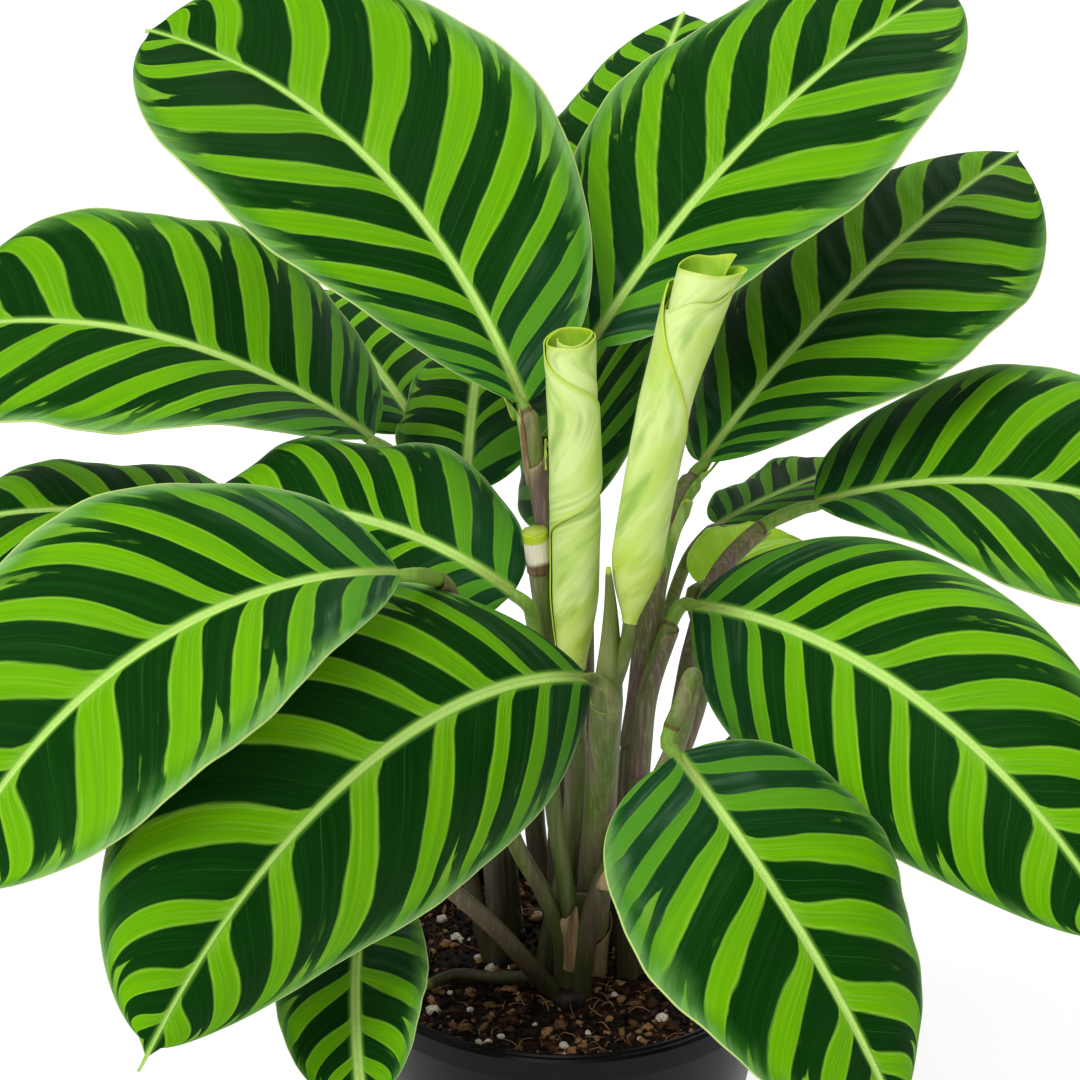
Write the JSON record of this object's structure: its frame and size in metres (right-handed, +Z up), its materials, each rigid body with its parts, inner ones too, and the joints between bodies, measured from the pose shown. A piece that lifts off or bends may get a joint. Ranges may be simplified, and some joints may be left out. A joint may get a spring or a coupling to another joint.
{
  "type": "potted zebra calathea",
  "caption": "Foliage plant in a round nursery pot: broad oval leaves banded light and dark on slim upright stalks, rolled young leaves in the middle, and soil that fills the pot.",
  "frame": {"origin": "middle of the pot's flat underside, on the surface that the pot stands on", "axes": "+Z is up along the pot's axis. -Y is the side that the picture is taken from, and +X is to the right in it."},
  "size_m": [0.5772, 0.5273, 0.4974],
  "materials": {
    "pot": "satin black moulded plastic",
    "soil": "moist dark peat and bark with white grains of perlite",
    "stalk": "smooth olive green stalk, flushed with purple brown towards the foot",
    "blade": "satin dark green leaf with lime bands, purple flushed grey green beneath",
    "young_blade": "satin pale lime young leaf"
  },
  "bodies": {
    "root": {"pot": "pot", "soil": "soil", "shoot_front": "stalk", "shoot_main": "stalk", "shoot_tall": "stalk", "shoot_right": "stalk", "shoot_far_right": "stalk", "shoot_back_right": "stalk", "shoot_back": "stalk", "shoot_left": "stalk", "shoot_back_left": "stalk", "leaf_top_left": "blade", "leaf_top_right": "blade", "leaf_top_back": "blade", "leaf_right_upper": "blade", "leaf_left_upper": "blade", "leaf_left_back": "blade", "leaf_left_front": "blade", "leaf_front_left": "blade", "leaf_left_inner": "blade", "leaf_back_left": "blade", "leaf_far_left": "blade", "leaf_back_middle": "blade", "leaf_hanging_small": "blade", "leaf_front_right": "blade", "leaf_right_front": "blade", "leaf_right_side": "blade", "leaf_back_right": "blade", "leaf_young_right": "young_blade", "leaf_low_back_left": "blade", "leaf_low_back_right": "blade", "rolled_leaf_left": "young_blade", "rolled_leaf_right": "young_blade"}
  },
  "joints": []
}
